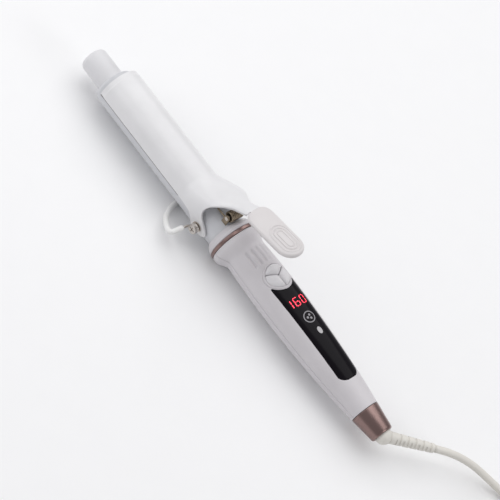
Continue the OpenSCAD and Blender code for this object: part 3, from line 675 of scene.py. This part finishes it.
def ring_plate(name, s, y, outer, inner, material):
    """A flat ring on the window, closed underneath: four circles of points joined in a loop."""
    rings = [(outer, PRINT_T), (inner, PRINT_T), (inner, 0.0), (outer, 0.0)]
    grid = np.stack([on_window(*ellipse(s, y, r, r, 64).T, p) for r, p in rings])
    ring = skin(name, grid, "root", poles=(False, False), smooth=False, looped=True)
    return paint(ring, "gloss_black", material)


PRINT_T = 0.05
ICON_S, ICON_Y = 248, -0.5
all_bars = [bar for figure, y in (("1", -7.6), ("6", -1.6), ("0", 4.4)) for bar in digit_bars(figure, y)]
icon_spots = [ellipse(ICON_S + 1.5 * math.cos(a), ICON_Y + 1.5 * math.sin(a), 0.85, 0.85, 24)
              for a in (0.5, 2.6, 4.7)]
raised_outline("digits", all_bars, PRINT_T, digit_light)
ring_plate("icon_ring", ICON_S, ICON_Y, 4.4, 3.75, icon_print)
raised_outline("icon_core", icon_spots, PRINT_T, icon_print)
raised_outline("silver_dot", [ellipse(259.6, 0, 2.7, 1.75)], 0.08, silver_dot)

# %% [markdown]
# Three puffy buttons share one round opening inside a thin bezel. Each button starts as the
# outline of a third of a disc, its corners cut round. Smaller copies of the outline, one inside
# another, carry the crown up like the contour lines of a hill.

# %% Bezel and buttons
def cut_corners(outline, times):
    """Chaikin's cut: each side keeps its middle half, so that a corner becomes two softer ones."""
    for _ in range(times):
        after = np.roll(outline, -1, axis=0)
        outline = np.stack([0.75 * outline + 0.25 * after, 0.25 * outline + 0.75 * after], 1).reshape(-1, 2)
    return outline


def even_outline(outline, n):
    """The same closed outline with n equal steps."""
    closed = np.vstack([outline, outline[:1]])
    run = along_curve(closed)
    at = np.linspace(0, run[-1], n, endpoint=False)
    return np.stack([np.interp(at, run, closed[:, k]) for k in (0, 1)], -1)


def bezel_ring():
    """A small rounded section carried round the buttons, its height measured from the handle's skin."""
    section = np.array([[9.2, -2.6], [9.2, 0.1], [9.35, 0.3], [9.85, 0.35], [10.35, 0.22], [10.55, -0.05],
                        [10.55, -2.6]])
    t = np.linspace(0, 2 * np.pi, 144, endpoint=False)
    r, lift = section[:, 0:1], section[:, 1:2]
    s, y = BUTTON + r * np.cos(t), r * np.sin(t)
    return skin("bezel", np.stack([station(s), y * MM, height(handle_top(s, y, 0) + lift)], -1), "root",
                poles=(False, False), looped=True)


bezel = bezel_ring()
finished(bezel, "handle_white", "button_bezel")


def puffy_button(name, node, body, turn):
    """Contours of a third of a disc: height is a dome and a root that falls off at the rim."""
    fan = np.radians(np.linspace(-58.8, 58.8, 11))
    side = np.array([[math.cos(fan[-1]), math.sin(fan[-1])]]) * np.array([[7.9], [5.0], [2.2]])
    rim = 9.2 * np.stack([np.cos(fan), np.sin(fan)], -1)
    outline = np.vstack([[[0.2, 0]], (side * [1, -1])[::-1], rim, side])
    outline = even_outline(cut_corners(outline, 3), 96)
    middle = outline.mean(0)
    size = np.concatenate([np.linspace(0.04, 0.86, 16), np.linspace(0.88, 1, 10)])
    lift = 0.9 * (1 - size**2) + 2.1 * np.sqrt(1 - size**4) - 0.7
    size = np.append(size, [1.0, 0.985, 0.5])
    lift = np.append(lift, [-0.8, -0.95, -0.95])
    flat = middle + size[:, None, None] * (outline - middle)
    c, d = math.cos(math.radians(turn)), math.sin(math.radians(turn))
    s = BUTTON + flat[..., 0] * c - flat[..., 1] * d
    y = flat[..., 0] * d + flat[..., 1] * c
    grid = np.stack([station(s), y * MM, height(handle_top(s, y, 0) + lift[:, None])], -1)
    return finished(skin(name, grid, body), "button_white", node)


for name, turn in (("power", 180), ("plus", -60), ("minus", 60)):
    puffy_button(name + "_key", "button_" + name, name + "_button", turn)

# %% [markdown]
# The clamp is one moulding: a long half-round cover that flares up over the pivot into a neck,
# with two ears that reach down to the pivot screws and an arched opening behind them. On a grid
# that runs straight from front to back the arch would cut through faces, so the grid is fitted
# to the shape instead: its lines start evenly along the front edge and end evenly along the
# whole back edge, round the ears and the arch to the end of the neck.

# %% The clamp cover's sections
BARREL_R = 15.0
LIP, COVER, FLARE, NECK = 30.3, 33.8, PIVOT - 26, PIVOT + 20.5
CROWN, CROWN_C, CROWN_R, EAR_Y, EAR_LOW = 20.5, 3.8, 16.7, 17.6, -5.0
PLATE_R, COVER_T, FLARE_LEN, LEVER_RISE = 16.36, 2.4, 26, 22.7


def bezier(a, b, c, d, n):
    """Points of a cubic curve through four handles."""
    t = np.linspace(0, 1, n)[:, None]
    a, b, c, d = (np.array(p, dtype=float) for p in (a, b, c, d))
    return (1 - t) ** 3 * a + 3 * (1 - t) ** 2 * t * b + 3 * (1 - t) * t * t * c + t**3 * d


def lever_top(rel):
    """The cover's top is level, then rises behind the flare with the power 1.5 of the distance."""
    return CROWN + LEVER_RISE * (np.maximum(rel + FLARE_LEN, 0) / 49) ** 1.5


side_low = bezier([-14, 3.7], [-8, 3.7], [-7.5, EAR_LOW], [-1, EAR_LOW], 40)


def low_edge(rel):
    """The cover's lower edge, which drops into the ears in front of the pivot."""
    return np.interp(rel, side_low[:, 0], side_low[:, 1])


def section_curve(s, inner):
    """Half a section, from the lower edge up and over to the crown, in equal steps."""
    rel = s - PIVOT
    rise = ease((rel + FLARE_LEN) / 28)
    ear = CROWN_R + (EAR_Y - CROWN_R) * ease((rel + FLARE_LEN) / 20)
    narrow = 9 + (ear - 9) * (1 - ease(rel / 15))
    top, centre, power = lever_top(rel), CROWN_C, 2 + 2.5 * rise
    step = 0.45 * (1 - ease((s - COVER + 1.1) / 1.8))
    a, h = ear - step, top - centre - step
    narrow = narrow - step
    if inner:
        back = ease((rel + FLARE_LEN) / 5)
        wall = ear - BARREL_R - 0.45
        a = PLATE_R + (ear - wall - PLATE_R) * back
        narrow = a - (ear - narrow)
        centre = 0.0
        h = PLATE_R + (top - COVER_T - PLATE_R) * back
    t = np.linspace(0, np.pi / 2, 240)
    up = np.sin(t) ** (2 / power)
    z = centre + h * up
    wide = narrow + (a - narrow) * (1 - ease(z / 20))
    y = wide * np.cos(t) ** (2 / power)
    z = np.concatenate([np.linspace(low_edge(rel), z[0], 30)[:-1], z])
    y = np.concatenate([np.full(29, y[0]), y])
    keep = z >= low_edge(rel) - 1e-9
    y, z = y[keep], z[keep]
    run = along_curve(np.stack([y, z], -1))
    even = np.linspace(0, run[-1], 201)
    return np.stack([np.interp(even, run, y), np.interp(even, run, z)], -1)


table_s = np.concatenate([[LIP, LIP + 3.2], np.linspace(LIP + 3.3, LIP + 4, 8),
                          np.linspace(LIP + 5, FLARE - 1, 8), np.linspace(FLARE, NECK, 150)])
sections = [np.stack([section_curve(s, inner) for s in table_s]) for inner in (False, True)]
print("sections:", sections[0].shape)


# %% The clamp cover's body-fitted grid
def on_section(table, s, part):
    """Y and Z at a station and a part of the way from the lower edge to the crown."""
    i = np.clip(np.searchsorted(table_s, s, side="right") - 1, 0, len(table_s) - 2)
    f = ((s - table_s[i]) / (table_s[i + 1] - table_s[i]))[..., None]
    k = np.clip(part * 200, 0, 200 - 1e-9)
    j = k.astype(int)
    g = (k - j)[..., None]
    near = table[i, j] * (1 - g) + table[i, j + 1] * g
    far = table[i + 1, j] * (1 - g) + table[i + 1, j + 1] * g
    return near * (1 - f) + far * f


def back_edge():
    """The cover's back edge in side view, as [distance behind the pivot, height]."""
    neck = [[rel, lever_top(rel) - 2.2] for rel in (12.5, 16.5, 20.5)]
    return np.vstack([
        bezier([-1, EAR_LOW], [4, EAR_LOW], [8.6, -4], [8.6, -0.6], 30)[:-1],
        bezier([8.6, -0.6], [8.6, 3.6], [-3.2, 8], [-3.2, 16.2], 40)[:-1],
        bezier([-3.2, 16.2], [-3.2, 24], [2.5, 30], neck[0], 40)[:-1],
        neck])


def fitted_grid(columns, rows):
    """Stations and parts of one half: each line runs from the front edge to its place on the back."""
    edge = back_edge()
    edge_s = PIVOT + edge[:, 0]
    row = [section_z[:, 1] for section_z in sections[0]]
    nearest = np.clip(np.searchsorted(table_s, edge_s), 0, len(table_s) - 1)
    part = np.array([np.interp(z, row[i], np.linspace(0, 1, 201)) for i, z in zip(nearest, edge[:, 1])])
    neck_part = np.linspace(part[-1], 1, 12)[1:]
    edge_s = np.concatenate([edge_s, np.full(11, NECK)])
    part = np.concatenate([part, neck_part])
    place = on_section(sections[0], edge_s, part)
    run = along_curve(np.column_stack([edge_s, place]))
    even = np.linspace(0, run[-1], columns)
    back_s, back_part = np.interp(even, run, edge_s), np.interp(even, run, part)
    front_part = np.linspace(0, 1, columns)
    v = np.concatenate([np.linspace(0, 0.036, 22)[:-1], np.linspace(0.036, 1, rows - 21)])[:, None]
    s = LIP + (back_s - LIP) * v
    bend = ease((v - 0.62) / 0.38)
    return s, front_part + (back_part - front_part) * bend


def cover_surface(table, s, part):
    """Both halves side by side: the near one mirrored, and the crown shared."""
    yz = on_section(table, s, part)
    half = np.stack([station(s), yz[..., 0] * MM, height(yz[..., 1])], -1)
    mirrored = (half * [1, -1, 1])[:, ::-1]
    return np.concatenate([half, mirrored[:, 1:]], axis=1)


grid_s, grid_part = fitted_grid(80, 190)
clamp = shell("clamp_moulding", *(cover_surface(table, grid_s, grid_part) for table in sections), "clamp")
round_edges(clamp, 0.55 * MM, 48)
finished(clamp, "cover_white", "clamp_cover", "clamp_lever")
print("clamp faces:", len(clamp.data.polygons))

# %% [markdown]
# The thumb pad is pushed over the neck. Its top is slightly crowned and carries three raised
# racetrack rings for grip. The same contour idea as the buttons makes it: outlines inside one
# another, each lifted by the crown, the rounded edge and the rings at that place.

# %% Thumb pad
PAD_LEN, PAD_W, PAD_T = 46.5, 22.0, 4.6
PAD_SLOPE = math.radians(11)
PAD_Z = float(lever_top(20.5)) - 1.2 + 0.6


def from_pad(x, y, z):
    """Places in the pad's own frame, sloped up from the end of the neck, carried to the iron's."""
    c, d = math.cos(PAD_SLOPE), math.sin(PAD_SLOPE)
    return np.stack([station(NECK + x * c - z * d), y * MM + 0 * x, height(PAD_Z + x * d + z * c)], -1)


def pad_bumps(x, y):
    """Three rings at 2.5, 4.9 and 7.3 mm from a short middle line: bell-shaped ridges."""
    away = np.hypot(np.maximum(np.abs(x - 31.2) - 4.9, 0), y)
    ridges = sum(0.75 * np.exp(-(((away - r) / 0.5) ** 2)) for r in (2.5, 4.9, 7.3))
    return ridges - 0.3 * ease((8.0 - away) / 0.8)


def thumb_pad():
    """A rounded outline, its contours lifted by 2.3 mm less the crown and the edge's quarter round."""
    end = np.radians(np.linspace(-90, 90, 13))
    r = PAD_W / 2 - 0.2
    back = np.stack([PAD_LEN - 0.2 - r + r * np.cos(end), r * np.sin(end)], -1)
    front = np.array([[8, PAD_W / 2], [2.6, PAD_W / 2 - 1.6], [0.2, PAD_W / 2 - 6.2], [0.2, 6.2 - PAD_W / 2],
                      [2.6, 1.6 - PAD_W / 2], [8, -PAD_W / 2]])
    outline = even_outline(cut_corners(np.vstack([back, front]), 3), 260)
    size = np.concatenate([np.linspace(0.01, 0.8, 74), np.linspace(0.81, 1, 26)])
    middle = np.array([24.0, 0.0])

    def at(size):
        flat = middle + size[:, None, None] * (outline - middle)
        return flat[..., 0], flat[..., 1]

    x, y = at(size)
    inset = (1 - size[:, None]) * np.linalg.norm(outline - middle, axis=1)
    crown = y * y / 62
    edge = 1.5 * (1 - np.sqrt(np.clip(1 - (1 - np.clip(inset / 1.8, 0, 1)) ** 2, 0, 1)))
    top = PAD_T / 2 - crown - edge + pad_bumps(x, y)
    under_size = np.array([1.0, 0.985, 0.94, 0.5])
    ux, uy = at(under_size)
    under = np.array([-0.9, -1.75, -2.2, -2.25])[:, None] + 0 * ux
    grid = np.concatenate([from_pad(x, y, top), from_pad(ux, uy, under)])
    return skin("thumb_rest", grid, "clamp")


pad = thumb_pad()
finished(pad, "pad_white", "thumb_pad")

# %% [markdown]
# Under the neck a wire spring is coiled across the iron. It is one wire: a leg along the barrel,
# seven turns and a leg up under the neck. Drawn as one path and given a round section, it looks
# wound, where stacked rings would look machined.

# %% Spring
SPRING_S, SPRING_Z, WIRE_R, MEAN_R = PIVOT + 10.5, 19.4, 0.7, 3.4


def spring_path():
    """A leg, then a helix of seven turns about a line across the iron, then a leg up."""
    turns, pitch = 7, 1.45
    t = np.linspace(0, turns + 0.3, 330)
    angle = -np.pi / 2 + 2 * np.pi * t
    y = -turns * pitch / 2 + pitch * np.minimum(t, turns)
    helix = np.stack([SPRING_S + MEAN_R * np.cos(angle), y, SPRING_Z + MEAN_R * np.sin(angle)], -1)
    lead = np.linspace([SPRING_S - 15, helix[0, 1], SPRING_Z - MEAN_R], helix[0], 24)[:-1]
    away = helix[-1] - helix[-2]
    up_leg = 0.35 * away / np.linalg.norm(away) + [0.1, 0, 0.93]
    rest = helix[-1] + np.linspace(0.4, 11.5, 26)[:, None] * up_leg
    return np.vstack([lead, helix, rest])


wire = spring_path()
coil_spring = tube("spring_wire", np.stack([station(wire[:, 0]), wire[:, 1] * MM, height(wire[:, 2])], -1),
                   WIRE_R * MM, None, 14)
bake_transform(coil_spring)
finished(coil_spring, "spring_bronze", "clamp_spring")
print("spring wire:", round(along_curve(wire)[-1]), "mm")

# %% [markdown]
# The folding stand is a bent wire in a soft sleeve. Each end of the wire loops round a pivot
# screw, and the sleeve covers the wire from just outside the loops, round both corners and the
# long bow. Both are tubes along paths in the stand's own plane, which hangs from the pivot.

# %% Stand
REACH, BOW_R, HALF_W, EYE_Y = 33.0, 38.0, 36.0, 19.3
BOW_C = REACH - BOW_R
FOLD = math.acos(17.2 / REACH)


def from_stand(path):
    """Points of [distance from the pivot, Y, height off the plane] carried to the folded stand."""
    path = np.array(path, dtype=float)
    out, up = path[:, 0], path[:, 2]
    x = PIVOT - out * math.sin(FOLD) + up * math.cos(FOLD)
    z = -out * math.cos(FOLD) - up * math.sin(FOLD)
    return np.stack([station(x), path[:, 1] * MM, height(z)], -1)


corner_out = BOW_C + math.sqrt(BOW_R**2 - HALF_W**2)
arm = np.array([corner_out - 5.2, HALF_W - EYE_Y, 0])
arm_unit = arm / np.linalg.norm(arm)
sleeve_start = np.array([5.2, EYE_Y, 0]) + 6 * arm_unit
bow_angle = math.asin(HALF_W / BOW_R) * 0.92
bow = [[BOW_C + BOW_R * math.cos(a), BOW_R * math.sin(a), 0] for a in np.linspace(bow_angle, -bow_angle, 19)]
near_corner = [[*(np.array([corner_out, HALF_W, 0]) - 3.4 * arm_unit)], [corner_out + 0.5, 35.2, 0]]
half_way = [sleeve_start.tolist(), *near_corner]
sleeve_path = smooth_path(half_way + bow + [[p[0], -p[1], p[2]] for p in half_way[::-1]], 0.8)
sleeve_r = 2.0 - 0.55 * np.maximum(0, 1 - np.minimum(along_curve(sleeve_path),
                                                     along_curve(sleeve_path[::-1])[::-1]) / 0.9) ** 2
sleeve = tube("stand_sleeve_soft", from_stand(sleeve_path), sleeve_r * MM, "stand", 20)
finished(sleeve, "silicone_white", "stand_sleeve")


def stand_end(side):
    """A loop of 2.5 mm about the pivot screw, then the bare arm out to the sleeve."""
    t = np.linspace(np.radians(-55), np.radians(250), 40)
    loop = np.stack([-2.5 * np.sin(t), np.full(40, EYE_Y - 0.05), 2.5 * np.cos(t)], -1)
    loop = loop + np.linspace(0, 1, 40)[:, None] * [0, 0.1, 0]
    out = smooth_path([loop[-1].tolist(), [4.6, EYE_Y + 0.05, 0.9], (sleeve_start - 3.2 * arm_unit).tolist(),
                       (sleeve_start + 2 * arm_unit).tolist()], 0.4)[1:]
    path = np.vstack([loop, out]) * [1, side, 1]
    return tube_grid(from_stand(path), 0.95 * MM, 14)


for side, name in ((1, "stand_wire_far"), (-1, "stand_wire_near")):
    bare = skin(name, stand_end(side), "stand")
    finished(bare, "nickel", "stand_wire")

# %% [markdown]
# At the tail the cord leaves through a ball that swivels. Its strain relief is a tapered sleeve
# of soft rubber, cut with slots on alternate sides so that it bends evenly. The slots are a
# change of radius along and round the sleeve, so no cutting is needed.

# %% Strain relief
def strain_relief():
    """Radius falls evenly from 4.45 to 3.45 mm; each slot sinks 0.85 mm on one half of the ring."""
    start = np.array([station(END + 1), 0, axis_z])
    end = ROUTE[0]
    line = start + np.linspace(0.12, 1, 300)[:, None] * (end - start)
    run = along_curve(line) / MM
    t = run / run[-1]
    angle = np.linspace(0, 2 * np.pi, 48, endpoint=False)
    pitch = 2.9
    beat = (run - 4) / pitch
    slot_here = ease((0.3 - np.abs(beat - np.round(beat))) / 0.12) * (run > 4) * (run < run[-1] - 2.5)
    side = np.where(np.round(beat) % 2 == 0, 1, -1)[:, None] * np.sin(angle + 0.5)
    depth = 0.85 * slot_here[:, None] * ease((side + 0.55) / 0.35)
    ends = 0.5 * np.maximum(0, 1 - (1 - t) * run[-1] / 0.8) ** 2
    radius = (4.45 - 1.0 * t - ends)[:, None] - depth
    unit_rings = tube_grid(line, 1.0, 48)
    centre = line[:, None]
    return skin("cord_relief", centre + (unit_rings - centre) * radius[..., None] * MM, "swivel")


relief = strain_relief()
finished(relief, "cord_ivory", "strain_relief")

# %% Plug
PLUG_AT, PLUG_TURN = np.array([274.0, -20.0, 6.85]), math.radians(10)


def plug_body():
    """Sections along the plug: half width and half height by distance, each a rounded box."""
    keys = np.array([[-36, 15.8, 5.2, 3], [-35.4, 17.0, 6.3, 3.2], [-34, 17.5, 6.75, 3.4],
                     [-23, 17.5, 6.8, 3.4], [-20, 15.6, 6.8, 3.2], [-12, 10.6, 6.7, 2.8],
                     [-4, 7.0, 6.5, 2.4], [0, 5.4, 5.4, 2],
                     [4, 4.6, 4.6, 2], [11.2, 3.7, 3.7, 2], [12, 3.1, 3.1, 2]])
    x = np.concatenate([np.linspace(-36, -33.5, 10)[:-1], np.linspace(-33.5, 10.8, 70), [11.4, 12]])
    wide, tall, power = (np.interp(x, keys[:, 0], keys[:, k])[:, None] for k in (1, 2, 3))
    t = np.linspace(0, 2 * np.pi, 64, endpoint=False)
    y = wide * np.sign(np.cos(t)) * np.abs(np.cos(t)) ** (2 / power)
    z = tall * np.sign(np.sin(t)) * np.abs(np.sin(t)) ** (2 / power)
    c, d = math.cos(PLUG_TURN), math.sin(PLUG_TURN)
    x = x[:, None] + 0 * t
    grid = np.stack([x * c - y * d, x * d + y * c, z], -1) + PLUG_AT
    return skin("plug", grid * MM, "swivel")


plug = plug_body()
finished(plug, "cord_ivory", "plug_body")
paint(cord, "cord_ivory")

# %% [markdown]
# The parts that the design already draws well, such as the screws, washers, pins and everything
# inside the handle, stay as they are. Each takes the finish that the design's own record names.

# %% Finishes of the carried-over parts
KEPT = {
    "clamp_plate": "plate_steel", "lever_tang": "aluminium", "heat_spreaders": "aluminium",
    "heater_strip": "heater_film", "thermistor": "heater_film", "pivot_bosses": "nickel",
    "pivot_screws": "nickel", "pivot_washers": "nickel", "spring_cheeks": "spring_bronze",
    "spring_pin": "nickel", "insulator_ring": "ceramic", "shell_screws": "nickel",
    "circuit_board": "board_green", "board_components": "black_plastic", "display_module": "black_plastic",
    "tact_switches": "black_plastic", "heater_leads": "wire_red", "swivel_bush": "black_plastic",
    "swivel_ball": "cord_ivory", "cord_tie": "tie_grey", "plug_pins": "nickel",
}
for node, name in KEPT.items():
    paint(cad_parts[node], name)

# %% [markdown]
# A white object on white needs light that turns round it, or its edges vanish. A broad lamp above
# the far side is the key; a weaker one in front keeps the near side a soft grey; a strip behind
# the tail draws a thin highlight along the metal. The floor is plain and pale.

# %% Floor and lights
def floor():
    """One pale square on the table's height."""
    size = 6.0
    corners = np.array([[-size, -size, 0], [size, -size, 0], [size, size, 0], [-size, size, 0]])
    piece = add_mesh("floor", corners, [[0, 1, 2, 3]], None, smooth=False)
    piece.data.materials.append(moulded("pale floor", (0.93, 0.93, 0.935), 0.9, grain=0.02, drift=0.004,
                                        grain_scale=800))


def soft_lamp(name, place, aim, size, watts, tint=(1, 1, 1)):
    """A square area lamp at a place, turned to face a point."""
    lamp = bpy.data.lights.new(name, "AREA")
    lamp.size, lamp.energy, lamp.color = size, watts, tint
    place, aim = np.array(place, dtype=float), np.array(aim, dtype=float)
    back = (place - aim) / np.linalg.norm(place - aim)
    across = np.cross([0, 0, 1.0], back)
    across /= np.linalg.norm(across)
    stand = bpy.data.objects.new(name, lamp)
    turn = np.vstack([np.stack([across, np.cross(back, across), back, place], 1), [0, 0, 0, 1]])
    stand.matrix_world = Matrix(turn.tolist())
    bpy.context.collection.objects.link(stand)


floor()
soft_lamp("key_lamp", (-0.5, 0.55, 1.55), (0, 0, 0), 2.3, 23)
soft_lamp("front_lamp", (-1.0, -0.95, 0.75), (-0.12, 0, 0), 1.1, 6, (0.98, 0.98, 1.0))
soft_lamp("tail_lamp", (1.3, 0.3, 0.7), (0.1, 0, 0), 0.5, 3)

world = bpy.data.worlds.new("studio")
bpy.context.scene.world = world
world.use_nodes = True
sky = world.node_tree.nodes["Background"]
set_inputs(sky, {"Color": (0.94, 0.94, 0.96, 1), "Strength": 0.41})
bpy.context.scene.view_settings.view_transform = "Standard"
